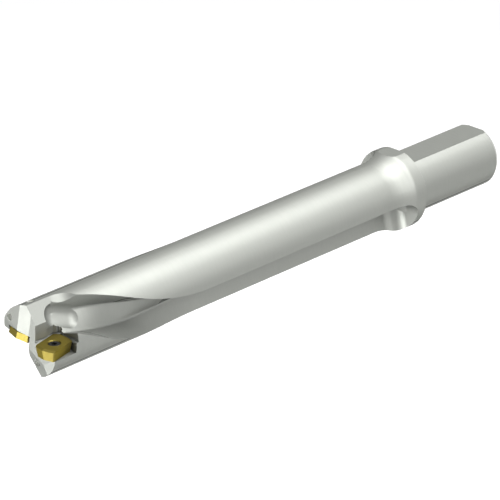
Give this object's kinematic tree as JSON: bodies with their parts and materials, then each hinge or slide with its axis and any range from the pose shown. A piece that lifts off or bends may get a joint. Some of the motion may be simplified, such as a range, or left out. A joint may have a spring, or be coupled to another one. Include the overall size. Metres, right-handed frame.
{
  "type": "indexable drill",
  "caption": "Long indexable drill: flat-sided cylindrical shank, flared collar, and a body whose chip flutes run straight, then twist to clamped cutting inserts.",
  "frame": {"origin": "on the drill's axis, at the rear face of the collar, where the shank starts", "axes": "+X along the axis toward the shank end, so the cutting end is at -X; +Z square to the flat on the shank; the peripheral insert is on the -Y side"},
  "size_m": [0.3141, 0.0416, 0.0408],
  "materials": {
    "body_steel": "satin",
    "insert_coating": "satin",
    "screw_steel": "satin"
  },
  "bodies": {
    "root": {"drill_body": "body_steel", "peripheral_insert": "insert_coating", "central_insert": "insert_coating", "peripheral_screw": "screw_steel", "central_screw": "screw_steel"}
  },
  "joints": []
}
